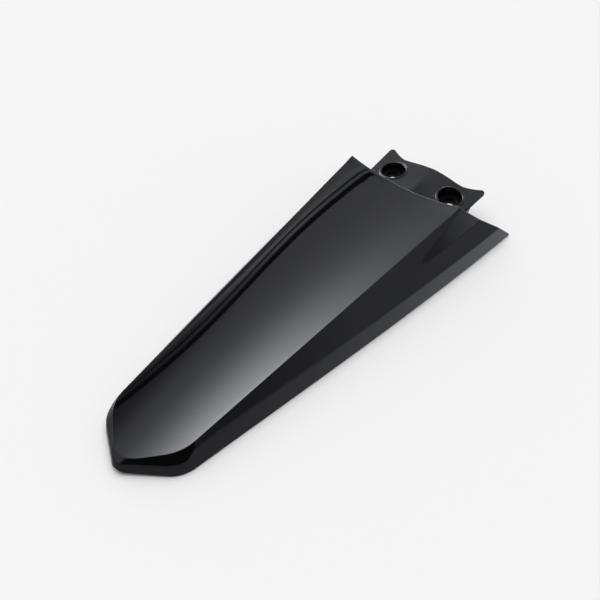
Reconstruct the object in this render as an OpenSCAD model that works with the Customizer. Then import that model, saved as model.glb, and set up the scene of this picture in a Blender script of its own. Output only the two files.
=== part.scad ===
// Rear mudguard of an off-road motorcycle: one injection moulding.
// X is across the machine, +Y points forward to the mounting tongue, +Z is up.
// The lower edges of the flanks lie on Z = 0 and the tail points to -Y.

/* [Overall] */
// Length from the tail tip to the ears of the tongue
total_l = 446.5; // [446:0.5:452]
// Thickness of the moulded wall
wall = 2.8; // [2:0.1:3.5]

/* [Crown panel] */
// Width across the side creases at the front lip
crown_front_w = 125; // [115:1:140]
// Width across the side creases at the tail corners
crown_tail_w = 79; // [70:1:90]
// Height of the crown's centre line at the front lip
crown_front_h = 46.7; // [44:0.1:52]
// Height of the crown's centre line at the tail tip
crown_tail_h = 15.4; // [13:0.1:18]
// How far the creases stand above the centre line at the front lip
front_dish = 8.4; // [4:0.1:12]
// How far the creases stand above the centre line at the tail corners
tail_dish = 3.8; // [2:0.1:6]
// How flat the middle of the crown is at the front lip: 2 gives a plain parabola
front_flatness = 2.1; // [1.8:0.1:4]
// How flat the middle of the crown is at the tail
tail_flatness = 2; // [1.8:0.1:4]
// Width of the small bevel that breaks each crease
crease_bevel = 0.9; // [0.6:0.1:1.4]

/* [Tail] */
// Distance of the crown's tail point from the tail tip
crown_tail_inset = 5.7; // [4:0.1:8]
// Distance of the crown's tail corners from the tail tip
crown_corner_y = 39.2; // [34:0.1:46]
// Distance of the foot's tail corners from the tail tip
foot_corner_y = 32.2; // [28:0.1:36]
// Height of the tail tip above the flanks' lower edges
tail_tip_lift = 4.8; // [3:0.1:8]
// Length of edge that the rounding of each tail corner takes
corner_run = 14; // [10:0.5:16]

/* [Flanks] */
// Width across the lower edges at the tail corners
foot_tail_w = 87.8; // [86:0.2:92]
// Width across the lower edges at the wing tips
foot_front_w = 178.4; // [170:0.2:190]
// Distance of the wing tips behind the ear tips
wing_inset = 5.5; // [2:0.5:16]
// How far the lower edges bow outward between tail and wing tip
foot_bow = 2.6; // [0:0.1:5]
// Height of the near-upright strip along the lower edge
strip_h = 19; // [16:0.5:22]
// How far the top of that strip leans inward of the lower edge
strip_lean = 3.5; // [2:0.1:4.5]
// Height of the top of that strip round the tail
tail_strip_h = 12; // [10.5:0.1:13]
// How far the top of that strip leans inward round the tail
tail_strip_lean = 1.2; // [0.5:0.1:3]
// Length of the facet let into each upper flank, which narrows to a point toward the tail
facet_l = 105; // [80:1:130]
// Depth of that facet at its lower front corner
facet_depth = 2.6; // [1:0.1:3]
// How far the front edge of the facet is set back
facet_setback = 2; // [0:0.1:3]

/* [Mounting tongue] */
// Length of the tongue in front of the crown's lip
tongue_l = 58.5; // [54:0.5:64]
// Distance between the centres of the two bolt holes
hole_spacing = 66.6; // [62:0.2:70]
// Distance of the bolt holes behind the ear tips
hole_inset = 28.5; // [26:0.5:32]
// Height of the tongue's top face at the bolt holes
tongue_h = 33.2; // [31:0.1:35]
// Thickness of the tongue plate
tongue_t = 3; // [2.5:0.1:4]
// Upward pitch of the tongue toward the front, in degrees
tongue_pitch = 4.5; // [2:0.5:8]
// Fall of each half of the tongue away from the centre fold, in degrees
tongue_fall = 7.5; // [3:0.5:9]
// Width of the tongue across the ear tips
ear_w = 109.4; // [106:0.2:112]
// Width of the tongue where it meets the crown
root_w = 106; // [102:0.5:108]
// How far the ear tips stand out in front of the hollows beside them
ear_h = 8.8; // [5:0.1:10]
// How far the rounded middle of the front edge stands out of the hollows
middle_h = 1.4; // [0:0.1:4]
// Distance of the lowest point of each hollow from the centre line
hollow_x = 33; // [30:0.5:38]
// Distance of the front ends of the side webs behind the ear tips
web_inset = 29.5; // [22:0.5:38]
// Height of the lower edge of the side webs
web_foot_h = 21; // [16:0.5:25]
// Length of the side webs behind the front lip
web_run = 40; // [20:1:60]
// How far the crown's front lip stands out over the step wall
lip_reveal = 0.8; // [0.4:0.1:1.5]

/* [Bolt pockets] */
// Diameter of the round pocket for a flanged bolt head
pocket_d = 23; // [20:0.2:24]
// Depth of the pocket
pocket_h = 6; // [5:0.1:8]
// Diameter of the step in the pocket's floor, for the collar's flange
step_d = 13; // [12:0.2:15]
// Depth of that step
step_h = 2; // [1:0.1:3]
// Diameter of the hole for the bolt and its collar
hole_d = 7.4; // [6.4:0.1:9]
// Thickness of the floor that the bolt clamps
floor_t = 3; // [2.5:0.1:4]

/* [Underside ribs] */
// Thickness of the ribs under the crown
rib_t = 1.8; // [1.4:0.1:2.2]
// Depth of the ribs below the crown's wall at the front
rib_h = 9; // [5:0.5:10]
// Length of the ribs behind the front lip
rib_l = 90; // [60:5:150]
// Distance of each rib from the centre line
rib_x = 24; // [20:0.5:32]

/* [Hidden] */
// Steps along a side, round a tail corner, along half the tail edge and over half the crown
side_steps = 18;
corner_steps = 8;
tail_steps = 4;
crown_steps = 9;
half_steps = side_steps + corner_steps + tail_steps;
// Where the facet's corners lie on the upper flank, from 0 at the crease to 1 at the strip
facet_top = 0.06;
facet_foot = 0.62;
facet_point = 0.5;
point_w = 0.05;
// Width that the halves of the tongue share at the centre fold
bite = 1.2;
crown_l = total_l - tongue_l;
wing_tip_y = total_l - wing_inset;
hole_y = total_l - hole_inset;
web_front_y = total_l - web_inset;
tongue_back_y = crown_l - wall;

function mix(a, b, t) = a + (b - a) * t;
function bezier(a, b, c, t) = a * (1 - t) * (1 - t) + b * 2 * t * (1 - t) + c * t * t;
function toward(a, b, run) = a + (b - a) * run / norm(b - a);

// The crown's top face as a height over X and Y
function along(y) = (y - crown_corner_y) / (crown_l - crown_corner_y);
function crease_x(y) = mix(crown_tail_w, crown_front_w, along(y)) / 2;
function centre_z(y) = mix(crown_tail_h, crown_front_h, (y - crown_tail_inset) / (crown_l - crown_tail_inset));
function dish(y) = mix(tail_dish, front_dish, along(y));
function flatness(y) = mix(tail_flatness, front_flatness, along(y));
function crown_z(x, y) = centre_z(y) + dish(y) * pow(abs(x) / crease_x(y), flatness(y));

// How far step i has gone round the tail: 0 at the end of the side, 1 at the tail point
function tail_share(i) = max(0, i - side_steps) / (half_steps - side_steps);

// One edge line of the right half in plan at step i: down the side, round the tail corner
// and along the tail edge to the tail point. bow swells the side outward.
function edge_line(front, corner, tail, bow, i) =
    let (side_end = toward(corner, front, corner_run), tail_start = toward(corner, tail, corner_run))
    i <= side_steps
        ? let (s = i / side_steps) mix(front, side_end, s) + [4 * bow * s * (1 - s), 0]
        : i <= side_steps + corner_steps
            ? bezier(side_end, corner, tail_start, (i - side_steps) / corner_steps)
            : mix(tail_start, tail, (i - side_steps - corner_steps) / tail_steps);

// Tail points and tail corners of the crease and foot lines, moved inward by d
crease_slope = (crown_corner_y - crown_tail_inset) / (crown_tail_w / 2);
foot_slope = foot_corner_y / (foot_tail_w / 2);
function crease_tail(d) = [0, crown_tail_inset + d * norm([1, crease_slope])];
function crease_corner(d) = crease_tail(d) + (crown_tail_w / 2 - d) * [1, crease_slope];
function foot_tail(d) = [0, d * norm([1, foot_slope])];
function foot_corner(d) = foot_tail(d) + (foot_tail_w / 2 - d) * [1, foot_slope];

// The front edge of a flank falls forward in a straight line from the crease to the wing tip
function front_y(z) = mix(wing_tip_y, crown_l, z / (crown_front_h + front_dish));

// The lines that bound the faces of the right half, in plan. d is measured inward from the outer face.
function crease_line(d, i) =
    edge_line([crown_front_w / 2 - d, crown_l], crease_corner(d), crease_tail(d), 0, i);
function strip_line(d, i) =
    edge_line([foot_front_w / 2 - d, front_y(strip_h)], foot_corner(d), foot_tail(d), foot_bow, i);
function foot_line(d, i) =
    edge_line([foot_front_w / 2 - d, wing_tip_y], foot_corner(d), foot_tail(d), foot_bow, i);

// How far the strip has turned into its lower form round the tail at step i
turn_steps = 4;
function turned(i) = min(1, max(0, i - side_steps + 1) / turn_steps);

// Heights of the foot and of the strip's top at step i, and how far that top leans inward
function foot_z(i) = tail_tip_lift * pow(tail_share(i), 3);
function strip_z(i) = mix(strip_h, tail_strip_h, turned(i));
function lean(i) = mix(strip_lean, tail_strip_lean, turned(i));

// How much of the facet's length is left at step i: 1 at the front edge, 0 behind the facet.
// The ridge above the facet and the waist below it meet near its point.
function facet_share(i) = max(0, 1 - i / side_steps * (wing_tip_y - foot_corner_y) / facet_l);
function ridge_at(i) = mix(facet_top, facet_point, pow(1 - facet_share(i), 1.3));
function waist_at(i) = mix(facet_point + point_w, facet_foot, facet_share(i));

function lift(p, z) = [p[0], p[1], z];

// Points of the right half at step i, from the crown's centre line out to the foot.
// inset moves the side faces inward and drop lowers the crown, which gives the inner face.
function profile(inset, drop, i) =
    let (
        crease = crease_line(inset, i),
        shoulder = crease_line(inset + crease_bevel, i),
        spine = [0, shoulder[1] + tail_share(i) * corner_run / 2],
        top = lift(crease, crown_z(crease[0], crease[1]) - drop),
        strip = lift(strip_line(inset + lean(i), i), strip_z(i)),
        ridge = mix(top, strip, ridge_at(i)) - facet_share(i) * [0, facet_setback, 0],
        waist = mix(top, strip, waist_at(i)) - facet_share(i) * [facet_depth, facet_setback, 0]
    )
    concat(
        [for (k = [0 : crown_steps])
            let (p = mix(spine, shoulder, k / crown_steps))
            lift(p, crown_z(p[0], p[1]) - drop)],
        [toward(top, ridge, crease_bevel), ridge, waist, strip, lift(foot_line(inset, i), foot_z(i))]
    );

// The shell: both faces of the wall as one grid of steps and profile points, closed along the rims
row = crown_steps + 6;
last_step = 2 * half_steps;
function mirrored(p) = [-p[0], p[1], p[2]];
function face_points(inset, drop) =
    [for (i = [0 : last_step], p = profile(inset, drop, min(i, last_step - i)))
        i <= half_steps ? p : mirrored(p)];
function at(i, j, inner) =
    (inner ? (last_step + 1) * row : 0) + (j == 0 ? min(i, last_step - i) : i) * row + j;
function skin(inner) =
    [for (i = [0 : last_step - 1], j = [0 : row - 2])
        inner
            ? [at(i, j, true), at(i + 1, j, true), at(i + 1, j + 1, true), at(i, j + 1, true)]
            : [at(i, j + 1, false), at(i + 1, j + 1, false), at(i + 1, j, false), at(i, j, false)]];
foot_rim = [for (i = [0 : last_step - 1])
    [at(i, row - 1, true), at(i + 1, row - 1, true), at(i + 1, row - 1, false), at(i, row - 1, false)]];
front_rim = [for (j = [0 : row - 2], i = [0, last_step])
    i == 0
        ? [at(i, j, false), at(i, j, true), at(i, j + 1, true), at(i, j + 1, false)]
        : [at(i, j + 1, false), at(i, j + 1, true), at(i, j, true), at(i, j, false)]];

module shell() {
    polyhedron(
        points = concat(face_points(0, 0), face_points(wall, wall)),
        faces = concat(skin(false), skin(true), foot_rim, front_rim)
    );
}

// Outline of the tongue in plan: a rounded middle, two hollows and two pointed ears
ear_tip_r = 1.6;
front_steps = 14;
valley_y = total_l - ear_h;
function tongue_front(x) =
    x < hollow_x
        ? valley_y + middle_h * (1 + cos(180 * pow(x / hollow_x, 1.4))) / 2
        : valley_y + ear_h * pow((x - hollow_x) / (ear_w / 2 - ear_tip_r - hollow_x), 1.4);
tongue_half = concat(
    [[0, tongue_back_y]],
    [for (k = [0 : front_steps])
        let (x = (ear_w / 2 - ear_tip_r) * k / front_steps)
        [x, tongue_front(x)]],
    [for (a = [60 : -30 : 0])
        [ear_w / 2 - ear_tip_r + ear_tip_r * cos(a), total_l - ear_tip_r + ear_tip_r * sin(a)]],
    [[root_w / 2, tongue_back_y]]
);

// Height of the tongue's top face over X and Y
hole_x = hole_spacing / 2;
function tongue_z(x, y) =
    tongue_h + (y - hole_y) * tan(tongue_pitch) - (abs(x) - hole_x) * tan(tongue_fall);

// One half of the tongue: the plan outline cut from a slab that is pitched and falls outward
module tongue_side() {
    slab_l = 2 * tongue_l;
    intersection() {
        translate([0, 0, web_foot_h])
            linear_extrude(height = crown_front_h)
                polygon(tongue_half);
        translate([0, hole_y, tongue_z(0, hole_y)])
            rotate([tongue_pitch, tongue_fall, 0])
                translate([-bite / 2, -slab_l / 2, -tongue_t])
                    cube([ear_w, slab_l, tongue_t]);
    }
}

module tongue_plate() {
    tongue_side();
    mirror([1, 0, 0]) tongue_side();
}

// The wall that steps down from the crown's front lip to the tongue.
// Its top follows the middle of the crown's wall and its foot the tongue's underside.
wall_steps = 10;
module step_wall() {
    half_w = root_w / 2;
    xs = [for (k = [-wall_steps : wall_steps]) half_w * k / wall_steps];
    outline = concat(
        [for (x = xs) [x, crown_z(x, tongue_back_y) - wall / 2]],
        [for (k = [0 : 2 * wall_steps])
            [-xs[k], tongue_z(xs[k], tongue_back_y) - tongue_t]]
    );
    translate([0, crown_l - lip_reveal, 0])
        rotate([90, 0, 0])
            linear_extrude(height = wall)
                polygon(outline);
}

// An upright web under each side of the tongue, from the step wall's foot up into the crown
web_chamfer = 4;
module side_web() {
    back_y = crown_l - web_run;
    outline = [
        [web_front_y, tongue_z(root_w / 2, web_front_y) - tongue_t / 2],
        [web_front_y, web_foot_h + web_chamfer],
        [web_front_y - web_chamfer, web_foot_h],
        [crown_l, web_foot_h],
        [back_y, crown_z(root_w / 2, back_y) - wall / 2],
        [crown_l - wall, crown_z(root_w / 2, crown_l - wall) - wall / 2],
        [crown_l - wall, tongue_z(root_w / 2, crown_l - wall) - tongue_t / 2]
    ];
    translate([root_w / 2 - wall, 0, 0])
        rotate([90, 0, 90])
            linear_extrude(height = wall)
                polygon(outline);
}

// A rib along the crown's underside that runs out to nothing behind the step wall
module rib() {
    back_y = crown_l - rib_l;
    outline = [
        [tongue_back_y, crown_z(rib_x, tongue_back_y) - wall / 2],
        [tongue_back_y, crown_z(rib_x, tongue_back_y) - wall - rib_h],
        [back_y, crown_z(rib_x, back_y) - wall / 2]
    ];
    translate([rib_x - rib_t / 2, 0, 0])
        rotate([90, 0, 90])
            linear_extrude(height = rib_t)
                polygon(outline);
}

// The cup that hangs under the tongue round each bolt pocket
cup_d = pocket_d + 2 * wall;
cup_h = pocket_h + step_h + floor_t;
module cup() {
    translate([hole_x, hole_y, tongue_h - cup_h])
        cylinder(h = cup_h - tongue_t / 2, d = cup_d);
}

// What is bored from a cup: the bolt hole, the step round it and the pocket above.
// Each bore runs on by "clear", so that no two of its faces coincide.
clear = 1;
module cup_bore() {
    translate([hole_x, hole_y, tongue_h - cup_h - clear])
        cylinder(h = floor_t + 2 * clear, d = hole_d);
    translate([hole_x, hole_y, tongue_h - pocket_h - step_h])
        cylinder(h = step_h + clear, d = step_d);
    translate([hole_x, hole_y, tongue_h - pocket_h])
        cylinder(h = pocket_h + tongue_t, d = pocket_d);
}

module on_both_sides() {
    children();
    mirror([1, 0, 0]) children();
}

// The whole moulding, with its length centred on the origin
module rear_mudguard() {
    color([0.03, 0.03, 0.035])
        translate([0, -total_l / 2, 0])
            difference() {
                union() {
                    shell();
                    tongue_plate();
                    step_wall();
                    on_both_sides() side_web();
                    on_both_sides() rib();
                    on_both_sides() cup();
                }
                on_both_sides() cup_bore();
            }
}

rear_mudguard();
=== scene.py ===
"""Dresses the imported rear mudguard: a fine glossy shell, its satin tongue and a soft studio."""

import math

import bmesh
import bpy
from bpy.props import FloatProperty, FloatVectorProperty, PointerProperty
from mathutils import Matrix, Vector


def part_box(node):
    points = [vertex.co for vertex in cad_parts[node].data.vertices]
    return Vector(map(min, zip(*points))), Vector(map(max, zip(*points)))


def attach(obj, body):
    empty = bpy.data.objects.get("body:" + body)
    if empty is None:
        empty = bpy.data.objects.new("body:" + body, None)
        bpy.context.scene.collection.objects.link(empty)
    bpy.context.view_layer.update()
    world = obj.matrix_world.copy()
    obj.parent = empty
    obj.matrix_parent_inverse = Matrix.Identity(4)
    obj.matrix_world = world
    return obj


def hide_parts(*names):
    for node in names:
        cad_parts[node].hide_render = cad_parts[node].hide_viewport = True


bl_info = {
    "name": "Rear mudguard",
    "version": (1, 0, 0),
    "blender": (4, 5, 0),
    "location": "3D View > Sidebar > Mudguard",
    "description": "Builds a moulded rear mudguard and the studio it is shown in",
    "category": "Object",
}

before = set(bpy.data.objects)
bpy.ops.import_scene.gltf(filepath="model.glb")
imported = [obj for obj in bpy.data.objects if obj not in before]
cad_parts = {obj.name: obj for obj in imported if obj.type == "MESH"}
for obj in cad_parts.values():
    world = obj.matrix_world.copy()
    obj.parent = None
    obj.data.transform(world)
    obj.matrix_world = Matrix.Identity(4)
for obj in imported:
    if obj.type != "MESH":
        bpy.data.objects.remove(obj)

NODE = "rear_mudguard"
BODY = "root"
MM = 0.001
BOX_LOW, BOX_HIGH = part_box(NODE)
TOTAL_L = (BOX_HIGH.y - BOX_LOW.y) / MM

# Steps of the loft: along a side, round a tail corner and along half the tail edge
SIDE_STEPS, CORNER_STEPS, TAIL_STEPS = 18, 8, 4
HALF_STEPS = SIDE_STEPS + CORNER_STEPS + TAIL_STEPS
SIDE_CELLS, CORNER_CELLS, TAIL_CELLS = 72, 28, 20
CROWN_CELLS = 26
# Where the cells of a flank's run and of the strip end, as shares of the run
FLANK_SHARES, FOOT_SHARES = (0.2, 0.4, 0.6, 0.8, 1.0), (0.25, 0.5, 0.75, 1.0)
# Where the facet's corners lie on the upper flank, from 0 at the crease to 1 at the strip
FACET_TOP, FACET_FOOT, FACET_POINT, POINT_W = 0.06, 0.62, 0.5, 0.05
# Powers of the facet's narrowing, of the dish at tail and lip, and of the tail's lift
FACET_POWER, TAIL_DISH_POWER, LIP_DISH_POWER, LIFT_POWER = 1.3, 2.0, 2.1, 5
# Lengths in mm over which the lip flares, and over which ridge, waist and strip are rounded
FLARE_RUN, RIDGE_R, WAIST_R, STRIP_R = 14, 0.7, 1.2, 1.6
# Slopes of the crown's upturned edge at the tail and at the lip
TAIL_UPTURN, LIP_UPTURN = 0.01, 0.09
# Share of the tail's steps before its point is rounded, and what moves the bow forward
POINT_SHARE, BOW_LEAN = 0.6, 1.5
# Pitch and fall of the tongue in degrees, curl of its ears, power of its front edge's curves
PITCH, FALL, EAR_CURL, EDGE_POWER = 4.5, 7.5, 0.003, 1.4
# Cells of the tongue's front edge, of a pocket's ring and of the bead's section
EDGE_CELLS, RING_CELLS, BEAD_CELLS = 30, 56, 8
# Cells round a wing tip and across the rounding of the shell's free edge
TIP_CELLS, RIM_CELLS = 6, 4
# Roundings of the tongue, the webs and the other plates in mm, and the webs' cut corner
TONGUE_R, WEB_R, PLATE_R, WEB_CUT = 0.5, 0.4, 0.3, 4
# Shares of a rounding at which its points lie
ARC = (0.25, 0.5, 0.75, 1.0)
# Distance in mm within which points of the tongue lie on its middle plane, or are one point
NEAR, JOIN = 1e-4, 0.001
# Colour of the reflected lights
COOL = (0.965, 0.985, 1.05)


def size(name, description, value):
    """A length that a user may change, given in millimetres."""
    return FloatProperty(
        name=name, description=description, default=value * MM, unit="LENGTH", precision=4
    )


class MudguardSizes(bpy.types.PropertyGroup):
    wall: size("Wall", "Thickness of the moulded wall", 2.8)
    crown_front_w: size("Crown front width", "Width across the creases at the lip", 125)
    crown_tail_w: size("Crown tail width", "Width across the creases at the tail", 79)
    crown_front_h: size("Crown front height", "Centre line's height at the lip", 46.7)
    crown_tail_h: size("Crown tail height", "Centre line's height at the tail", 15.4)
    front_dish: size("Front dish", "Rise of the creases over the middle at the lip", 8.4)
    tail_dish: size("Tail dish", "Rise of the creases over the middle at the tail", 3.8)
    crease_r: size("Crease rounding", "Run of the rounding of each crease", 0.4)
    crown_tail_inset: size("Crown tail inset", "Crown's point behind the tail tip", 2.4)
    crown_corner_y: size("Crown corner", "Crown's corners from the tail tip", 39.2)
    foot_corner_y: size("Foot corner", "Foot's corners from the tail tip", 32.2)
    tail_tip_lift: size("Tail lift", "Height of the tail tip over the floor", 5.2)
    corner_run: size("Corner run", "Edge taken by the rounding of a corner", 14)
    apex_run: size("Apex run", "Edge taken by the rounding of the tail's point", 9)
    crown_apex_run: size("Crown apex run", "Edge taken by the rounding of the crown's point", 20)
    foot_tail_w: size("Foot tail width", "Width across the feet at the tail", 88.8)
    foot_front_w: size("Foot front width", "Width across the wing tips", 180)
    wing_inset: size("Wing inset", "Wing tips behind the ear tips", 2.5)
    wing_tip_r: size("Wing tip rounding", "Rounding of the wing tips' corners", 4.5)
    foot_bow: size("Foot bow", "Outward bow of the lower edges", 3.3)
    strip_h: size("Strip height", "Height of the near-upright strip", 19)
    strip_lean: size("Strip lean", "Inward lean of that strip's top", 3.5)
    tail_strip_h: size("Tail strip height", "Height of the strip round the tail", 12)
    tail_strip_lean: size("Tail strip lean", "Inward lean round the tail", 1.2)
    facet_l: size("Facet length", "Length of the facet in the upper flank", 125)
    facet_depth: size("Facet depth", "Depth of the facet's lower front corner", 3.1)
    facet_setback: size("Facet setback", "Setback of the facet's front edge", 2)
    edge_r: size("Edge rounding", "Rounding of the free edges", 1.2)
    lip_flare: size("Lip flare", "Rise of the lip's ends over the crown's curve", 0.6)
    crease_lip: size("Crease lip", "Width of the crown's upturned edge", 2.6)
    tongue_l: size("Tongue length", "Length of the tongue before the lip", 58.5)
    tongue_h: size("Tongue height", "Tongue's top at the bolt holes", 33.2)
    tongue_t: size("Tongue thickness", "Thickness of the tongue's plate", 3)
    ear_w: size("Ear width", "Width across the ear tips", 111.4)
    ear_h: size("Ear height", "Stand of the ears before the hollows", 8.4)
    ear_tip_r: size("Ear tip rounding", "Rounding of the ears' tips", 3.8)
    middle_h: size("Middle height", "Stand of the rounded middle", 1.4)
    hollow_x: size("Hollow place", "Hollows' distance from the centre", 33)
    root_w: size("Root width", "Width of the tongue at the crown", 106)
    hole_spacing: size("Hole spacing", "Distance between the bolt holes", 66.6)
    hole_inset: size("Hole inset", "Bolt holes behind the ear tips", 28.5)
    pocket_d: size("Pocket diameter", "Diameter of the bolt pockets", 23.6)
    pocket_h: size("Pocket depth", "Depth of the bolt pockets", 6)
    step_d: size("Step diameter", "Diameter of the step in the floor", 13)
    step_h: size("Step depth", "Depth of that step", 2)
    hole_d: size("Hole diameter", "Diameter of the bolt holes", 7.4)
    floor_t: size("Floor thickness", "Thickness that the bolt clamps", 3)
    bead_w: size("Bead width", "Width of the raised bead round each pocket", 2.4)
    bead_h: size("Bead height", "Stand of that bead over the tongue", 0.8)
    fold_w: size("Fold width", "Width of the groove along the tongue's middle", 2.2)
    fold_run: size("Fold run-out", "Rounding of the fold at the tongue's front edge", 9)
    web_inset: size("Web inset", "Side webs behind the ear tips", 22)
    web_foot_h: size("Web foot", "Height of the webs' lower edge", 21)
    web_run: size("Web run", "Length of the webs behind the lip", 40)
    lip_reveal: size("Lip reveal", "Stand of the lip over the step wall", 0.8)
    rib_t: size("Rib thickness", "Thickness of the ribs", 1.8)
    rib_h: size("Rib depth", "Depth of the ribs at the front", 9)
    rib_l: size("Rib length", "Length of the ribs behind the lip", 90)
    rib_x: size("Rib place", "Ribs' distance from the centre", 24)


class MudguardFinish(bpy.types.PropertyGroup):
    gloss_colour: FloatVectorProperty(
        name="Gloss colour", description="Colour of the polished faces",
        subtype="COLOR", size=3, min=0, max=1, default=(0.0024, 0.0024, 0.0028),
    )
    satin_colour: FloatVectorProperty(
        name="Satin colour", description="Colour of the grained faces",
        subtype="COLOR", size=3, min=0, max=1, default=(0.0032, 0.0032, 0.0034),
    )
    gloss_roughness: FloatProperty(
        name="Gloss roughness", description="Roughness of the polished faces",
        default=0.035, min=0, max=1, subtype="FACTOR",
    )
    satin_roughness: FloatProperty(
        name="Satin roughness", description="Roughness of the grained faces",
        default=0.16, min=0, max=1, subtype="FACTOR",
    )
    recess_roughness: FloatProperty(
        name="Recess roughness", description="Roughness inside the bolt pockets",
        default=0.35, min=0, max=1, subtype="FACTOR",
    )


class StudioSettings(bpy.types.PropertyGroup):
    floor_colour: FloatVectorProperty(
        name="Floor colour", description="Colour of the floor",
        subtype="COLOR", size=3, min=0, max=1, default=(0.8, 0.8, 0.8),
    )
    top_strength: FloatProperty(
        name="Top strength", description="Strength of the broad overhead light", default=1.83, min=0
    )
    key_strength: FloatProperty(
        name="Key strength", description="Strength of the soft key light", default=0.5, min=0
    )
    ambient: FloatProperty(
        name="Ambient", description="Brightness of the room's fill light", default=0.55, min=0
    )
    scrim_strength: FloatProperty(
        name="Scrim strength", description="Brightness of the lit scrim's middle",
        default=9.8, min=0,
    )


class Form:
    """The moulding's form in millimetres: X across, Y from the tail tip, Z up from the floor."""

    def __init__(self, sizes):
        for key in MudguardSizes.__annotations__:
            setattr(self, key, getattr(sizes, key) / MM)
        self.crown_l = TOTAL_L - self.tongue_l
        self.wing_tip_y = TOTAL_L - self.wing_inset
        self.hole_y = TOTAL_L - self.hole_inset
        self.hole_x = self.hole_spacing / 2
        self.tongue_back_y = self.crown_l - self.wall
        self.crease_slope = (self.crown_corner_y - self.crown_tail_inset) / (self.crown_tail_w / 2)
        self.foot_slope = self.foot_corner_y / (self.foot_tail_w / 2)

    def along(self, y):
        """Share of the way from the crown's tail corners to its lip."""
        return (y - self.crown_corner_y) / (self.crown_l - self.crown_corner_y)

    def crown_z(self, x, y):
        """Height of the crown's top face: a centre line that climbs forward, dished across."""
        a = self.along(y)
        half_w = mix(self.crown_tail_w, self.crown_front_w, a) / 2
        climb = (y - self.crown_tail_inset) / (self.crown_l - self.crown_tail_inset)
        rise = mix(self.tail_dish, self.front_dish, a)
        power = mix(TAIL_DISH_POWER, LIP_DISH_POWER, a)
        near_lip = smooth(min(1, max(0, 1 - (self.crown_l - y) / FLARE_RUN)))
        rise += self.lip_flare * near_lip
        upturn = mix(TAIL_UPTURN, LIP_UPTURN, a) * max(0, abs(x) - half_w + self.crease_lip)
        base = mix(self.crown_tail_h, self.crown_front_h, climb)
        return base + rise * (abs(x) / half_w) ** power + upturn

    def edge_line(self, front, corner, tail, bow, apex_run, i):
        """One edge line of the right half in plan at step i, from the front to the tail point."""
        side_end = toward(corner, front, self.corner_run)
        tail_start = toward(corner, tail, self.corner_run)
        if i <= SIDE_STEPS:
            s = i / SIDE_STEPS
            return mix(front, side_end, s) + Vector((4 * bow * s * (1 - s) * (BOW_LEAN - s), 0))
        if i <= SIDE_STEPS + CORNER_STEPS:
            return arc(side_end, corner, tail_start, (i - SIDE_STEPS) / CORNER_STEPS)
        t = (i - SIDE_STEPS - CORNER_STEPS) / TAIL_STEPS
        apex_start = toward(tail, tail_start, apex_run)
        if t <= POINT_SHARE:
            return mix(tail_start, apex_start, t / POINT_SHARE)
        apex_end = Vector((-apex_start.x, apex_start.y))
        return arc(apex_start, tail, apex_end, (t - POINT_SHARE) / (2 * (1 - POINT_SHARE)))

    def crease_line(self, d, i):
        """The crease of the right half, moved inward by d, at step i."""
        tail = Vector((0, self.crown_tail_inset + d * math.hypot(1, self.crease_slope)))
        corner = tail + (self.crown_tail_w / 2 - d) * Vector((1, self.crease_slope))
        front = Vector((self.crown_front_w / 2 - d, self.crown_l))
        return self.edge_line(front, corner, tail, 0, self.crown_apex_run, i)

    def side_line(self, d, i, front_y):
        """The flank's outer line, moved inward by d, at step i. It starts at front_y."""
        tail = Vector((0, d * math.hypot(1, self.foot_slope)))
        corner = tail + (self.foot_tail_w / 2 - d) * Vector((1, self.foot_slope))
        front = Vector((self.foot_front_w / 2 - d, front_y))
        return self.edge_line(front, corner, tail, self.foot_bow, self.apex_run, i)

    def corners(self, inset, drop, i):
        """Spine, shoulder, crease, ridge, waist, strip and foot of the section at step i."""
        share = max(0, i - SIDE_STEPS) / (HALF_STEPS - SIDE_STEPS)
        side_l = self.wing_tip_y - self.foot_corner_y
        facet = max(0, 1 - i / SIDE_STEPS * side_l / self.facet_l)
        turned = smooth(min(1, max(0, i - SIDE_STEPS + 1) / 4))
        crease = self.crease_line(inset, i)
        shoulder = self.crease_line(inset + self.crease_r, i)
        spine = Vector((0, shoulder.y))
        if share:
            bend = self.crease_line(inset + self.crease_r, SIDE_STEPS).y
            point = self.crease_line(inset + self.crease_r, HALF_STEPS).y
            spine.y = mix(bend, point + self.corner_run / 2, share)
        top = crease.to_3d()
        top.z = self.crown_z(crease.x, crease.y) - drop
        strip_front = mix(
            self.wing_tip_y, self.crown_l, self.strip_h / (self.crown_front_h + self.front_dish)
        )
        lean = mix(self.strip_lean, self.tail_strip_lean, turned)
        strip = self.side_line(inset + lean, i, strip_front).to_3d()
        strip.z = mix(self.strip_h, self.tail_strip_h, turned)
        ridge = mix(top, strip, mix(FACET_TOP, FACET_POINT, (1 - facet) ** FACET_POWER))
        waist = mix(top, strip, mix(FACET_POINT + POINT_W, FACET_FOOT, facet))
        ridge = ridge - facet * Vector((0, self.facet_setback, 0))
        waist = waist - facet * Vector((self.facet_depth, self.facet_setback, 0))
        foot = self.side_line(inset, i, self.wing_tip_y).to_3d()
        foot.z = self.tail_tip_lift * share ** LIFT_POWER
        return spine, shoulder, top, ridge, waist, strip, foot

    def section(self, inset, drop, i):
        """Points of the section at step i, from the spine out to the foot."""
        spine, shoulder, top, ridge, waist, strip, foot = self.corners(inset, drop, i)
        points = []
        for k in range(CROWN_CELLS + 1):
            p = mix(spine, shoulder, k / CROWN_CELLS).to_3d()
            p.z = self.crown_z(p.x, p.y) - drop
            points.append(p)
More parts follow.
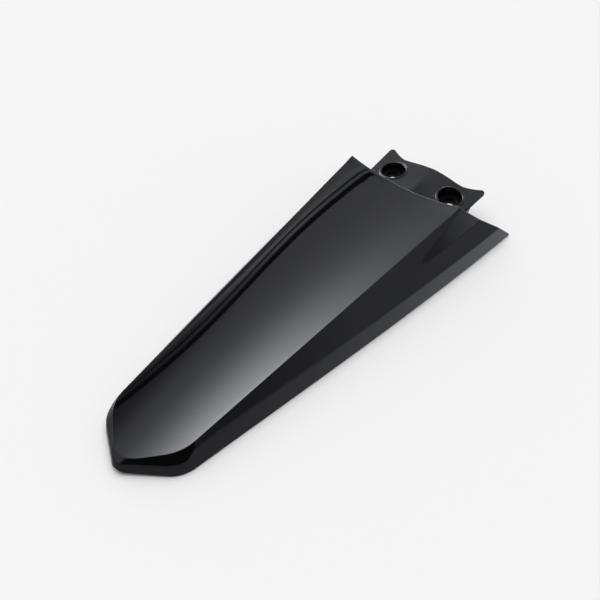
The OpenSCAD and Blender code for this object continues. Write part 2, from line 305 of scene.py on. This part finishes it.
        # Each turn: its corner, its rounding, the next corner and the cells on the way there
        turns = (
            (top, self.crease_r, ridge, (1.0,)), (ridge, RIDGE_R, waist, FLANK_SHARES),
            (waist, WAIST_R, strip, FLANK_SHARES), (strip, STRIP_R, foot, FOOT_SHARES),
        )
        start = points[-1]
        for n, (turn, run, after, shares) in enumerate(turns):
            end = self.rounding_end(turn, after, run)
            points.extend(arc(start, turn, end, t) for t in ARC)
            if after is foot:
                start = foot
            else:
                start = self.rounding_end(after, turn, turns[n + 1][1])
            straight(points, start, shares)
        return points

    def rounding_end(self, turn, other, run):
        """Where the rounding of a corner ends, at most 0.4 of the way to the other corner."""
        return toward(turn, other, min(run, 0.4 * (other - turn).length))

    def tongue_front(self, x):
        """The tongue's front edge: a rounded middle, two hollows and the ears."""
        valley = TOTAL_L - self.ear_h
        if x < self.hollow_x:
            wave = math.cos(math.pi * (x / self.hollow_x) ** EDGE_POWER)
            return valley + self.middle_h * (1 + wave) / 2
        reach = self.ear_w / 2 - self.ear_tip_r - self.hollow_x
        return valley + self.ear_h * ((x - self.hollow_x) / reach) ** EDGE_POWER

    def tongue_z(self, x, y):
        """Height of the tongue's top: folded along its middle, the fold fading forward."""
        pitch, fall = math.tan(math.radians(PITCH)), math.tan(math.radians(FALL))
        ear = max(0, abs(x) - self.hole_x) ** 2 * EAR_CURL
        forward = max(0, (y - self.crown_l) / (TOTAL_L - self.crown_l))
        aside = math.hypot(x, self.fold_run * forward)
        return self.tongue_h + (y - self.hole_y) * pitch - (aside - self.hole_x) * fall + ear


def mix(a, b, t):
    return a + (b - a) * t


def smooth(t):
    return t * t * (3 - 2 * t)


def arc(start, corner, end, t):
    """Point at share t of the rounding of a corner."""
    return start * (1 - t) ** 2 + corner * 2 * t * (1 - t) + end * t * t


def toward(a, b, run):
    """The point at a distance from a on the way to b."""
    return a + (b - a) * (run / (b - a).length)


def straight(points, end, shares):
    """Adds the points of a straight run from the last point to end."""
    start = points[-1]
    points.extend(mix(start, end, share) for share in shares)


def placed(p):
    """A point of the form in the row frame, in metres."""
    return Vector((p[0], p[1] - TOTAL_L / 2, p[2])) * MM


def finish_piece(bm, name, materials):
    """Makes the bmesh an object that rides the frame, wears the slot and stands for the node."""
    mesh = bpy.data.meshes.new(name)
    for face in bm.faces:
        face.smooth = True
    bm.to_mesh(mesh)
    bm.free()
    for material in materials:
        mesh.materials.append(material)
    piece = bpy.data.objects.new(name, mesh)
    bpy.context.scene.collection.objects.link(piece)
    weighted = piece.modifiers.new("even_shading", "WEIGHTED_NORMAL")
    weighted.keep_sharp = True
    weighted.weight = 100
    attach(piece, BODY)
    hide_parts(NODE)
    return piece


def compute(tree, operation, *values):
    """Adds a Math node whose values are numbers or sockets. Returns its result's socket."""
    node = tree.nodes.new("ShaderNodeMath")
    node.operation = operation
    for socket, value in zip(node.inputs, values):
        if isinstance(value, bpy.types.NodeSocket):
            tree.links.new(value, socket)
        else:
            socket.default_value = value
    return node.outputs[0]


def ease(tree, value, low, high, start, end):
    """Adds a smooth step from start, below low, to end, above high. Returns its socket."""
    node = tree.nodes.new("ShaderNodeMapRange")
    node.interpolation_type = "SMOOTHSTEP"
    for label, number in zip(("From Min", "From Max", "To Min", "To Max"), (low, high, start, end)):
        node.inputs[label].default_value = number
    tree.links.new(value, node.inputs["Value"])
    return node.outputs["Result"]


def surface_group():
    """Node group: uneven polish and a fine grain, from Object coordinates."""
    name = "moulded_surface"
    if name in bpy.data.node_groups:
        return bpy.data.node_groups[name]
    group = bpy.data.node_groups.new(name, "ShaderNodeTree")
    sockets = group.interface
    for label, value in (("Roughness", 0.1), ("Unevenness", 0.02), ("Grain Scale", 2600.0),
                         ("Grain Height", 0.1), ("Ripple Height", 0.1)):
        socket = sockets.new_socket(name=label, in_out="INPUT", socket_type="NodeSocketFloat")
        socket.default_value = value
    sockets.new_socket(name="Colour", in_out="INPUT", socket_type="NodeSocketColor")
    sockets.new_socket(name="Base Color", in_out="OUTPUT", socket_type="NodeSocketColor")
    sockets.new_socket(name="Roughness", in_out="OUTPUT", socket_type="NodeSocketFloat")
    sockets.new_socket(name="Normal", in_out="OUTPUT", socket_type="NodeSocketVector")
    nodes, link = group.nodes, group.links.new
    given, made = nodes.new("NodeGroupInput"), nodes.new("NodeGroupOutput")
    place = nodes.new("ShaderNodeTexCoord")

    def noise(scale, detail):
        node = nodes.new("ShaderNodeTexNoise")
        node.inputs["Detail"].default_value = detail
        if scale:
            node.inputs["Scale"].default_value = scale
        link(place.outputs["Object"], node.inputs["Vector"])
        return node

    def bump(height, strength, distance):
        node = nodes.new("ShaderNodeBump")
        node.inputs["Distance"].default_value = distance
        link(height, node.inputs["Height"])
        link(strength, node.inputs["Strength"])
        return node

    cloud = noise(22.0, 3.0)
    centred = compute(group, "SUBTRACT", cloud.outputs["Fac"], 0.5)
    spread = compute(
        group, "MULTIPLY_ADD", centred, given.outputs["Unevenness"], given.outputs["Roughness"]
    )
    link(spread, made.inputs["Roughness"])
    tint = nodes.new("ShaderNodeMapRange")
    tint.inputs["To Min"].default_value = 0.85
    tint.inputs["To Max"].default_value = 1.15
    link(cloud.outputs["Fac"], tint.inputs["Value"])
    shade = nodes.new("ShaderNodeVectorMath")
    shade.operation = "SCALE"
    link(given.outputs["Colour"], shade.inputs[0])
    link(tint.outputs["Result"], shade.inputs["Scale"])
    link(shade.outputs["Vector"], made.inputs["Base Color"])
    ripple = bump(noise(28.0, 1.0).outputs["Fac"], given.outputs["Ripple Height"], 0.0004)
    fine = noise(0, 2.0)
    link(given.outputs["Grain Scale"], fine.inputs["Scale"])
    grain = bump(fine.outputs["Fac"], given.outputs["Grain Height"], 0.0001)
    link(ripple.outputs["Normal"], grain.inputs["Normal"])
    link(grain.outputs["Normal"], made.inputs["Normal"])
    return group


def plastic(name, colour, roughness, unevenness, grain_height, ripple_height, specular=0.5):
    """A black moulded plastic. Its polish, tint and relief vary by the shared group."""
    if name in bpy.data.materials:
        return bpy.data.materials[name]
    material = bpy.data.materials.new(name)
    material.use_nodes = True
    tree = material.node_tree
    shader = tree.nodes["Principled BSDF"]
    shader.inputs["IOR"].default_value = 1.5
    shader.inputs["Specular IOR Level"].default_value = specular
    group = tree.nodes.new("ShaderNodeGroup")
    group.node_tree = surface_group()
    group.inputs["Colour"].default_value = (*colour, 1)
    group.inputs["Roughness"].default_value = roughness
    group.inputs["Unevenness"].default_value = unevenness
    group.inputs["Grain Height"].default_value = grain_height
    group.inputs["Ripple Height"].default_value = ripple_height
    for label in ("Base Color", "Roughness", "Normal"):
        tree.links.new(group.outputs[label], shader.inputs[label])
    material.diffuse_color = (*colour, 1)
    return material


def gloss():
    """The polished outside of the shell."""
    finish = bpy.context.scene.mudguard_finish
    return plastic(
        "polished_black", finish.gloss_colour, finish.gloss_roughness, 0.02, 0.01, 0.02
    )


def satin():
    """The grained tongue, webs, ribs and inside of the shell."""
    finish = bpy.context.scene.mudguard_finish
    return plastic(
        "grained_black", finish.satin_colour, finish.satin_roughness, 0.08, 0.25, 0.0, 0.45
    )


def shaded_recess():
    """Inside the bolt pockets: a rougher finish whose low specular level is painted shade,
    darkening the pockets.
    """
    finish = bpy.context.scene.mudguard_finish
    return plastic(
        "recess_black_painted_shade", finish.satin_colour, finish.recess_roughness, 0.08, 0.25, 0.0, 0.1
    )


def loft_steps():
    """The step of every column of the right half, from the front to the tail's point."""
    bend = SIDE_STEPS + CORNER_STEPS
    steps = [SIDE_STEPS * k / SIDE_CELLS for k in range(SIDE_CELLS)]
    steps += [SIDE_STEPS + CORNER_STEPS * k / CORNER_CELLS for k in range(CORNER_CELLS)]
    return steps + [bend + TAIL_STEPS * k / TAIL_CELLS for k in range(TAIL_CELLS + 1)]


def place_sheet(verts, column, row, sections, middle):
    """Moves every vertex of the sheet to its place on the loft."""
    for v in verts:
        i = round(v[column])
        p = sections[min(i, 2 * middle - i)][round(v[row])].copy()
        if i > middle:
            p.x = -p.x
        v.co = placed(p)


class MUDGUARD_OT_shell(bpy.types.Operator):
    """Lofts the dished crown, the creased flanks and the pointed tail as one thin wall"""

    bl_idname = "mudguard.shell"
    bl_label = "Shell"

    def execute(self, context):
        form = Form(context.scene.mudguard_sizes)
        steps = loft_steps()
        outer = [form.section(0, 0, i) for i in steps]
        inner = [form.section(form.wall, form.wall, i) for i in steps]
        columns, rows, middle = 2 * (len(steps) - 1), len(outer[0]) - 1, len(steps) - 1
        bm = bmesh.new()
        bmesh.ops.create_grid(bm, x_segments=columns, y_segments=rows, size=1)
        column = bm.verts.layers.float.new("column")
        row = bm.verts.layers.float.new("row")
        for v in bm.verts:
            v[column] = round((v.co.x + 1) / 2 * columns)
            v[row] = round((v.co.y + 1) / 2 * rows)
        place_sheet(bm.verts, column, row, outer, middle)
        bmesh.ops.remove_doubles(bm, verts=bm.verts, dist=1e-6)
        wall = bmesh.ops.extrude_face_region(bm, geom=bm.faces[:], use_keep_orig=True)["geom"]
        inside = [g for g in wall if isinstance(g, bmesh.types.BMVert)]
        inside_faces = {g for g in wall if isinstance(g, bmesh.types.BMFace)}
        place_sheet(inside, column, row, inner, middle)
        for face in bm.faces:
            face.material_index = 1 if face in inside_faces else 0
        bmesh.ops.recalc_face_normals(bm, faces=bm.faces)
        # Only the short edges through the wall at the wing tips join two three-edged corners
        tips = [e for e in bm.edges if all(len(v.link_edges) == 3 for v in e.verts)]
        rounded(bm, tips, form.wing_tip_r, TIP_CELLS)
        rounded(bm, sharp_edges(bm, 50), form.edge_r, RIM_CELLS)
        finish_piece(bm, "mudguard_shell", (gloss(), satin()))
        return {"FINISHED"}


def sharp_edges(bm, angle):
    """Edges where two faces meet at more than the angle, in degrees."""
    limit = math.radians(angle)
    return [e for e in bm.edges if len(e.link_faces) == 2 and e.calc_face_angle(0) > limit]


def rounded(bm, edges, run, segments):
    """Rounds edges of a bmesh that is in metres. The run is in millimetres."""
    bmesh.ops.bevel(
        bm, geom=edges, offset=run * MM, offset_type="OFFSET", segments=segments, profile=0.5,
        affect="EDGES", material=-1, clamp_overlap=False,
    )


def ring_down(bm, edges, centre, radius, height):
    """Extrudes a ring of edges and sets the new ring's radius and height. Returns its edges."""
    made = bmesh.ops.extrude_edge_only(bm, edges=edges)["geom"]
    for v in (g for g in made if isinstance(g, bmesh.types.BMVert)):
        out = (v.co.xy - centre).normalized() * radius
        v.co = (centre.x + out.x, centre.y + out.y, height(centre + out))
    return [g for g in made if isinstance(g, bmesh.types.BMEdge) and len(g.link_faces) == 1]


def flatten(bm, faces):
    """Joins the triangles of a nearly plane filling, so that it shades evenly."""
    chosen = set(faces)
    inner = [e for e in bm.edges if len(e.link_faces) == 2 and chosen.issuperset(e.link_faces)]
    bmesh.ops.dissolve_limit(
        bm, angle_limit=math.radians(4), use_dissolve_boundaries=False, verts=[], edges=inner
    )


class MUDGUARD_OT_tongue(bpy.types.Operator):
    """Builds the folded tongue with its ears and the two stepped bolt cups"""

    bl_idname = "mudguard.tongue"
    bl_label = "Mounting tongue"

    def execute(self, context):
        form = Form(context.scene.mudguard_sizes)
        bm = bmesh.new()
        edge, seam, mouth, centre = self.top(bm, form)
        last = self.cup(bm, form, mouth, centre)
        self.underside(bm, form, edge, seam, last)
        half = bm.verts[:] + bm.edges[:] + bm.faces[:]
        bmesh.ops.mirror(bm, geom=half, axis="X", merge_dist=JOIN)
        bmesh.ops.remove_doubles(bm, verts=bm.verts, dist=JOIN)
        bmesh.ops.recalc_face_normals(bm, faces=bm.faces)
        self.fold(bm, form)
        # Faces sunk in a pocket take the recess material, whose low specular level is painted
        # shade.
        for face in bm.faces:
            middle = face.calc_center_median()
            apart = math.hypot(abs(middle.x) - form.hole_x, middle.y - form.hole_y)
            sunk = form.tongue_z(middle.x, middle.y) - middle.z > 1
            face.material_index = 1 if sunk and apart < form.pocket_d / 2 + 0.1 else 0
        for v in bm.verts:
            v.co = placed(v.co)
        hidden_y = (form.tongue_back_y + 0.5 - TOTAL_L / 2) * MM
        rounded(bm, [
            e for e in sharp_edges(bm, 40)
            if max(v.co.y for v in e.verts) > hidden_y
            and max(abs(v.co.x) for v in e.verts) > form.fold_w * MM
        ], TONGUE_R, 3)
        finish_piece(bm, "mounting_tongue", (satin(), shaded_recess()))
        return {"FINISHED"}

    def top(self, bm, form):
        """The right half's top face. Returns its edge, seam, pocket mouth and pocket centre."""
        last_x = form.ear_w / 2 - form.ear_tip_r
        tip_y = TOTAL_L - form.ear_tip_r
        xs = [last_x * k / EDGE_CELLS for k in range(EDGE_CELLS + 1)]
        outline = [(0, form.tongue_back_y)] + [(x, form.tongue_front(x)) for x in xs]
        outline += [
            (last_x + form.ear_tip_r * math.cos(a), tip_y + form.ear_tip_r * math.sin(a))
            for a in (math.radians(90 - 18 * k) for k in range(1, 6))
        ]
        outline += [(form.root_w / 2, form.tongue_back_y)]
        ring = [bm.verts.new((x, y, form.tongue_z(x, y))) for x, y in outline]
        edge = [bm.edges.new((a, b)) for a, b in zip(ring, ring[1:] + ring[:1])]
        centre = Vector((form.hole_x, form.hole_y))
        pocket = bmesh.ops.create_circle(
            bm, cap_ends=False, segments=RING_CELLS, radius=form.pocket_d / 2 + form.bead_w,
            matrix=Matrix.Translation(centre.to_3d()),
        )["verts"]
        for v in pocket:
            v.co.z = form.tongue_z(v.co.x, v.co.y)
        known = set(edge)
        mouth = [e for e in bm.edges if e not in known]
        bmesh.ops.triangle_fill(bm, edges=edge + mouth, use_beauty=True, use_dissolve=False)
        flatten(bm, bm.faces[:])
        return edge, edge[0], mouth, centre

    def cup(self, bm, form, mouth, centre):
        """The bead, the stepped pocket, its hole and its outer wall. Returns the last ring."""
        floor = form.tongue_h - form.pocket_h
        foot = floor - form.step_h - form.floor_t
        outer_r = form.pocket_d / 2 + form.wall
        last = mouth
        for k in range(1, BEAD_CELLS + 1):
            a = math.pi * k / BEAD_CELLS
            radius = form.pocket_d / 2 + form.bead_w * (1 + math.cos(a)) / 2
            stand = form.bead_h * math.sin(a)
            last = ring_down(bm, last, centre, radius, lambda p, h=stand: form.tongue_z(*p) + h)
        for radius, height in (
            (form.pocket_d / 2, floor), (form.step_d / 2, floor),
            (form.step_d / 2, floor - form.step_h), (form.hole_d / 2, floor - form.step_h),
            (form.hole_d / 2, foot), (outer_r, foot),
        ):
            last = ring_down(bm, last, centre, radius, lambda p, h=height: h)
        under = form.tongue_t
        return ring_down(bm, last, centre, outer_r, lambda p: form.tongue_z(*p) - under)

    def underside(self, bm, form, edge, seam, last):
        """The plate's sides and its lower face, which joins the cup's last ring."""
        sides = bmesh.ops.extrude_edge_only(bm, edges=[e for e in edge if e is not seam])["geom"]
        lowered = [g for g in sides if isinstance(g, bmesh.types.BMVert)]
        lines = [g for g in sides if isinstance(g, bmesh.types.BMEdge)]
        for v in lowered:
            v.co.z -= form.tongue_t
        chosen = set(lowered)
        under = [e for e in lines if chosen.issuperset(e.verts)]
        ends = sorted((v for v in lowered if abs(v.co.x) < NEAR), key=lambda v: v.co.y)
        under.append(bm.edges.new(ends))
        below = bmesh.ops.triangle_fill(bm, edges=under + last, use_beauty=True, use_dissolve=False)
        flatten(bm, [g for g in below["geom"] if isinstance(g, bmesh.types.BMFace)])

    def fold(self, bm, form):
        """The groove along the fold, which fades toward the front edge."""
        fold = [e for e in bm.edges if all(
            abs(v.co.x) < NEAR and v.co.z > form.tongue_z(*v.co.xy) - 0.1 for v in e.verts
        )]
        bmesh.ops.bevel(
            bm, geom=fold, offset=form.fold_w / 2, offset_type="OFFSET", segments=4, profile=0.5,
            affect="EDGES", material=-1, clamp_overlap=True,
        )
        half_w, front_y = form.fold_w / 2, form.tongue_front(0)
        for v in bm.verts:
            if abs(v.co.x) < half_w and v.co.z > form.tongue_z(*v.co.xy) - 0.6:
                fade = min(1, (front_y - v.co.y) / (front_y - form.crown_l))
                v.co.z -= (half_w - abs(v.co.x)) * fade
        for edge in sharp_edges(bm, 25):
            if max(abs(v.co.x) for v in edge.verts) < half_w * 1.05:
                edge.smooth = False


def plate(bm, outline, offset):
    """Adds a flat plate: the outline's face, extruded by offset."""
    face = bm.faces.new([bm.verts.new(placed(p)) for p in outline])
    far = bmesh.ops.extrude_face_region(bm, geom=[face], use_keep_orig=True)["geom"]
    move = Vector(offset) * MM
    bmesh.ops.translate(bm, vec=move, verts=[g for g in far if isinstance(g, bmesh.types.BMVert)])


def soften(bm, run, angle):
    """Rounds the sharp edges of the plates."""
    bmesh.ops.recalc_face_normals(bm, faces=bm.faces)
    rounded(bm, sharp_edges(bm, angle), run, 2)


class MUDGUARD_OT_stiffeners(bpy.types.Operator):
    """Builds the step wall behind the tongue, the side webs and the ribs under the crown"""

    bl_idname = "mudguard.stiffeners"
    bl_label = "Step wall, webs and ribs"

    def execute(self, context):
        form = Form(context.scene.mudguard_sizes)
        back, half_w, wall = form.tongue_back_y, form.root_w / 2, form.wall
        bm = bmesh.new()
        xs = [half_w * k / 16 for k in range(-16, 17)]
        face_y = form.crown_l - form.lip_reveal
        upper = [(x, face_y, form.crown_z(x, back) - wall / 2) for x in xs]
        lower = [(-x, face_y, form.tongue_z(x, back) - form.tongue_t) for x in xs]
        plate(bm, upper + lower, (0, -wall, 0))
        soften(bm, PLATE_R, 60)
        finish_piece(bm, "step_wall", (satin(),))
        bm = bmesh.new()
        web_front = TOTAL_L - form.web_inset
        web_back = form.crown_l - form.web_run
        side = (
            (web_front, form.tongue_z(half_w, web_front) - form.tongue_t / 2),
            (web_front, form.web_foot_h + WEB_CUT), (web_front - WEB_CUT, form.web_foot_h),
            (form.crown_l, form.web_foot_h),
            (web_back, form.crown_z(half_w, web_back) - wall / 2),
            (back, form.crown_z(half_w, back) - wall / 2),
            (back, form.tongue_z(half_w, back) - form.tongue_t / 2),
        )
        for sign in (1, -1):
            plate(bm, [(sign * (half_w - wall), y, z) for y, z in side], (sign * wall, 0, 0))
        soften(bm, WEB_R, 40)
        finish_piece(bm, "side_webs", (satin(),))
        bm = bmesh.new()
        rib_back = form.crown_l - form.rib_l
        rib = (
            (back, form.crown_z(form.rib_x, back) - wall / 2),
            (back, form.crown_z(form.rib_x, back) - wall - form.rib_h),
            (rib_back, form.crown_z(form.rib_x, rib_back) - wall / 2),
        )
        for sign in (1, -1):
            x = sign * (form.rib_x - form.rib_t / 2)
            plate(bm, [(x, y, z) for y, z in rib], (sign * form.rib_t, 0, 0))
        soften(bm, PLATE_R, 60)
        finish_piece(bm, "crown_ribs", (satin(),))
        return {"FINISHED"}


def bell(tree, centre, spread):
    """Adds nodes for a bell curve over the surface, 1 at the centre. Returns its socket."""
    place = tree.nodes.new("ShaderNodeTexCoord")
    shift = tree.nodes.new("ShaderNodeVectorMath")
    shift.operation = "SUBTRACT"
    shift.inputs[1].default_value = centre
    tree.links.new(place.outputs["Object"], shift.inputs[0])
    scale = tree.nodes.new("ShaderNodeVectorMath")
    scale.operation = "MULTIPLY"
    scale.inputs[1].default_value = (1 / spread[0], 1 / spread[1], 0)
    tree.links.new(shift.outputs["Vector"], scale.inputs[0])
    square = tree.nodes.new("ShaderNodeVectorMath")
    square.operation = "DOT_PRODUCT"
    tree.links.new(scale.outputs["Vector"], square.inputs[0])
    tree.links.new(scale.outputs["Vector"], square.inputs[1])
    half = compute(tree, "MULTIPLY", square.outputs["Value"], -0.5)
    return compute(tree, "EXPONENT", half)


def glow(name, strength, spread):
    """A light panel's material: brightest in the middle and fading outward as a bell curve."""
    material = bpy.data.materials.new(name)
    material.use_nodes = True
    tree = material.node_tree
    tree.nodes.clear()
    light = tree.nodes.new("ShaderNodeEmission")
    light.inputs["Color"].default_value = (*COOL, 1)
    power = compute(tree, "MULTIPLY", bell(tree, (0, 0, 0), spread), strength)
    tree.links.new(power, light.inputs["Strength"])
    clear = tree.nodes.new("ShaderNodeBsdfTransparent")
    add = tree.nodes.new("ShaderNodeAddShader")
    tree.links.new(light.outputs[0], add.inputs[0])
    tree.links.new(clear.outputs[0], add.inputs[1])
    out = tree.nodes.new("ShaderNodeOutputMaterial")
    tree.links.new(add.outputs[0], out.inputs["Surface"])
    return material


def panel(name, centre, axes, half_sizes, material, bend=None):
    """A flat panel that only shows in reflections. axes are its X and Y directions."""
    bm = bmesh.new()
    bmesh.ops.create_grid(bm, x_segments=1, y_segments=40 if bend else 1, size=1)
    for v in bm.verts:
        v.co.x *= half_sizes[0]
        v.co.y *= half_sizes[1]
        v.co.x += bend(v.co.y + centre.y) if bend else 0
    mesh = bpy.data.meshes.new(name)
    bm.to_mesh(mesh)
    bm.free()
    mesh.materials.append(material)
    piece = bpy.data.objects.new(name, mesh)
    x, y = axes[0].normalized(), axes[1].normalized()
    turn = Matrix((x, y, x.cross(y))).transposed()
    piece.matrix_world = Matrix.Translation(centre) @ turn.to_4x4()
    piece.visible_camera = piece.visible_diffuse = piece.visible_shadow = False
    piece.visible_transmission = False
    bpy.context.scene.collection.objects.link(piece)
    return piece


def facing_axes(azimuth, elevation):
    """The direction toward a place in the room, and the X and Y axes of a panel that faces back."""
    a, e = math.radians(azimuth), math.radians(elevation)
    out = Vector((math.cos(e) * math.sin(a), math.cos(e) * math.cos(a), math.sin(e)))
    across = Vector((math.cos(a), -math.sin(a), 0))
    return out, across, (-out).cross(across)


class MUDGUARD_OT_studio(bpy.types.Operator):
    """Sets the pale floor, the soft lights and the camera at the photograph's angle"""

    bl_idname = "mudguard.studio"
    bl_label = "Studio"

    def execute(self, context):
        scene = context.scene
        studio = scene.mudguard_studio
        self.floor(studio)
        self.room(scene, studio)
        self.keys(studio)
        self.scrims(studio)
        self.camera(scene)
        scene.view_settings.view_transform = "Standard"
        scene.view_settings.look = "None"
        return {"FINISHED"}

    def floor(self, studio):
        bm = bmesh.new()
        bmesh.ops.create_circle(bm, cap_ends=True, segments=96, radius=12)
        mesh = bpy.data.meshes.new("studio_floor")
        bm.to_mesh(mesh)
        bm.free()
        material = bpy.data.materials.new("floor_paint_and_painted_reflection")
        material.use_nodes = True
        tree = material.node_tree
        shader = tree.nodes["Principled BSDF"]
        shader.inputs["Base Color"].default_value = (*studio.floor_colour, 1)
        shader.inputs["Roughness"].default_value = 1
        shader.inputs["Specular IOR Level"].default_value = 0
        # Gloss rays see painted light instead of the lit floor. It is a dim glow near the part that
        # paints the floor's shade there, brighter just ahead of the part, with a strong painted
        # patch further forward that lights the lip's highlight.
        painted_floor_reflection = tree.nodes.new("ShaderNodeEmission")
        painted_floor_reflection.inputs["Color"].default_value = (*COOL, 1)
        ahead = bell(tree, (0.12, 0.25, 0), (0.35, 0.22))
        behind = bell(tree, (-0.35, 0.6, 0), (0.24, 0.24))
        lift = compute(tree, "MULTIPLY_ADD", ahead, 0.46, 0.23)
        strength = compute(tree, "MULTIPLY_ADD", behind, 3.6, lift)
        tree.links.new(strength, painted_floor_reflection.inputs["Strength"])
        ray = tree.nodes.new("ShaderNodeLightPath")
        choose = tree.nodes.new("ShaderNodeMixShader")
        tree.links.new(ray.outputs["Is Glossy Ray"], choose.inputs[0])
        tree.links.new(shader.outputs[0], choose.inputs[1])
        tree.links.new(painted_floor_reflection.outputs[0], choose.inputs[2])
        tree.links.new(choose.outputs[0], tree.nodes["Material Output"].inputs["Surface"])
        mesh.materials.append(material)
        floor = bpy.data.objects.new("studio_floor", mesh)
        floor.location.z = -0.0002
        bpy.context.scene.collection.objects.link(floor)

    def room(self, scene, studio):
        """Even fill for the floor. Gloss sees a room with two round dark patches."""
        world = bpy.data.worlds.new("studio_room")
        scene.world = world
        world.use_nodes = True
        tree = world.node_tree
        tree.nodes.clear()
        place = tree.nodes.new("ShaderNodeTexCoord")
        apart = tree.nodes.new("ShaderNodeSeparateXYZ")
        tree.links.new(place.outputs["Generated"], apart.inputs[0])
        up = apart.outputs["Z"]
        seen = compute(
            tree, "MULTIPLY", ease(tree, up, 0.05, 0.55, 0.38, 0.7),
            ease(tree, up, 0.86, 0.93, 1.0, 0.3),
        )
        for direction, edge, inside, level in (
            ((0.671, -0.470, 0.574), 0.48, 0.70, 0.02), ((0.478, 0.569, 0.669), 0.88, 0.96, 0.25),
        ):
            facing = tree.nodes.new("ShaderNodeVectorMath")
            facing.operation = "DOT_PRODUCT"
            facing.inputs[1].default_value = direction
            tree.links.new(place.outputs["Generated"], facing.inputs[0])
            patch = ease(tree, facing.outputs["Value"], edge, inside, 1.0, level)
            seen = compute(tree, "MULTIPLY", seen, patch)
        gloss_view = tree.nodes.new("ShaderNodeBackground")
        gloss_view.inputs["Color"].default_value = (*COOL, 1)
        tree.links.new(seen, gloss_view.inputs["Strength"])
        fill = tree.nodes.new("ShaderNodeBackground")
        fill.inputs["Strength"].default_value = studio.ambient
        backdrop = tree.nodes.new("ShaderNodeBackground")
        backdrop.inputs["Color"].default_value = (0.913, 0.913, 0.913, 1)
        ray = tree.nodes.new("ShaderNodeLightPath")
        choose = tree.nodes.new("ShaderNodeMixShader")
        tree.links.new(ray.outputs["Is Glossy Ray"], choose.inputs[0])
        tree.links.new(fill.outputs[0], choose.inputs[1])
        tree.links.new(gloss_view.outputs[0], choose.inputs[2])
        show = tree.nodes.new("ShaderNodeMixShader")
        tree.links.new(ray.outputs["Is Camera Ray"], show.inputs[0])
        tree.links.new(choose.outputs[0], show.inputs[1])
        tree.links.new(backdrop.outputs[0], show.inputs[2])
        out = tree.nodes.new("ShaderNodeOutputWorld")
        tree.links.new(show.outputs[0], out.inputs["Surface"])

    def keys(self, studio):
        for name, strength, angle, turn in (
            ("top_key", studio.top_strength, 60, (0, 0)),
            ("side_key", studio.key_strength, 80, (-22, -30)),
        ):
            light = bpy.data.lights.new(name, "SUN")
            light.energy = strength
            light.angle = math.radians(angle)
            key = bpy.data.objects.new(name, light)
            key.rotation_euler = (math.radians(turn[0]), math.radians(turn[1]), 0)
            key.visible_glossy = False
            bpy.context.scene.collection.objects.link(key)

    def scrims(self, studio):
        """The panels that the gloss reflects: a lit scrim, an overhead strip and a dark boom."""
        aim = placed((0, 215, 30))
        out, across, up = facing_axes(-85.06, 17.12)
        roll = -0.56
        x_axis = across * math.cos(roll) + up * math.sin(roll)
        y_axis = -across * math.sin(roll) + up * math.cos(roll)
        panel("lit_scrim", aim + out * 1.6267, (x_axis, y_axis), (1.6, 3.0),
              glow("scrim_light", studio.scrim_strength, (0.3213, 0.6628)))
        out, across, up = facing_axes(-27, 10)
        panel("low_back_light", aim + out * 1.5, (across, up), (0.325, 0.175),
              glow("low_back_light", 9, (0.13, 0.07)))
        x, y = Vector((1, 0, 0)), Vector((0, 1, 0))
        panel("strip_light", Vector((-0.212, 0.46, 1.002)), (x, y), (0.1, 0.6),
              glow("strip_light_glow", 0.8, (0.018, 0.18)))
        boom = bpy.data.materials.new("boom_black")
        boom.use_nodes = True
        shader = boom.node_tree.nodes["Principled BSDF"]
        shader.inputs["Base Color"].default_value = (0.002, 0.002, 0.002, 1)
        shader.inputs["Roughness"].default_value = 1
        shader.inputs["Specular IOR Level"].default_value = 0

        def sway(y):
            """The boom waves along its length and turns away at its far end."""
            return 0.028 * math.sin(2 * math.pi * (y - 0.415) / 0.7) - 25 * max(0, y - 0.76) ** 2

        panel("boom", Vector((-0.288, 0.41, 1.0)), (x, y), (0.017, 0.41), boom, sway)
        panel("boom_cable", Vector((-0.244, 0.44, 1.001)), (x, y), (0.006, 0.34), boom, sway)

    def camera(self, scene):
        lens = bpy.data.cameras.new("camera")
        lens.lens = 64.2
        lens.sensor_width = 36
        lens.sensor_fit = "HORIZONTAL"
        lens.clip_end = 100
        camera = bpy.data.objects.new("camera", lens)
        camera.location = (0.43015, -0.52138, 0.67946)
        camera.rotation_euler = (math.radians(90 - 44.204), 0, math.radians(39.144))
        scene.collection.objects.link(camera)
        scene.camera = camera


OPERATORS = (MUDGUARD_OT_shell, MUDGUARD_OT_tongue, MUDGUARD_OT_stiffeners, MUDGUARD_OT_studio)


class MUDGUARD_PT_panel(bpy.types.Panel):
    """Lists the pieces of the mudguard and its studio"""

    bl_idname = "MUDGUARD_PT_panel"
    bl_label = "Rear mudguard"
    bl_space_type = "VIEW_3D"
    bl_region_type = "UI"
    bl_category = "Mudguard"

    def draw(self, context):
        for operator in OPERATORS:
            self.layout.operator(operator.bl_idname)
        scene = context.scene
        for group in (scene.mudguard_sizes, scene.mudguard_finish, scene.mudguard_studio):
            for key in group.__annotations__:
                self.layout.prop(group, key)


CLASSES = (MudguardSizes, MudguardFinish, StudioSettings, *OPERATORS, MUDGUARD_PT_panel)


def register():
    for cls in CLASSES:
        bpy.utils.register_class(cls)
    bpy.types.Scene.mudguard_sizes = PointerProperty(type=MudguardSizes)
    bpy.types.Scene.mudguard_finish = PointerProperty(type=MudguardFinish)
    bpy.types.Scene.mudguard_studio = PointerProperty(type=StudioSettings)


def unregister():
    for name in ("mudguard_sizes", "mudguard_finish", "mudguard_studio"):
        delattr(bpy.types.Scene, name)
    for cls in reversed(CLASSES):
        bpy.utils.unregister_class(cls)


def main():
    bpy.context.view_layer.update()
    register()
    for operator in OPERATORS:
        group, name = operator.bl_idname.split(".")
        getattr(getattr(bpy.ops, group), name)()


if __name__ == "__main__":
    main()
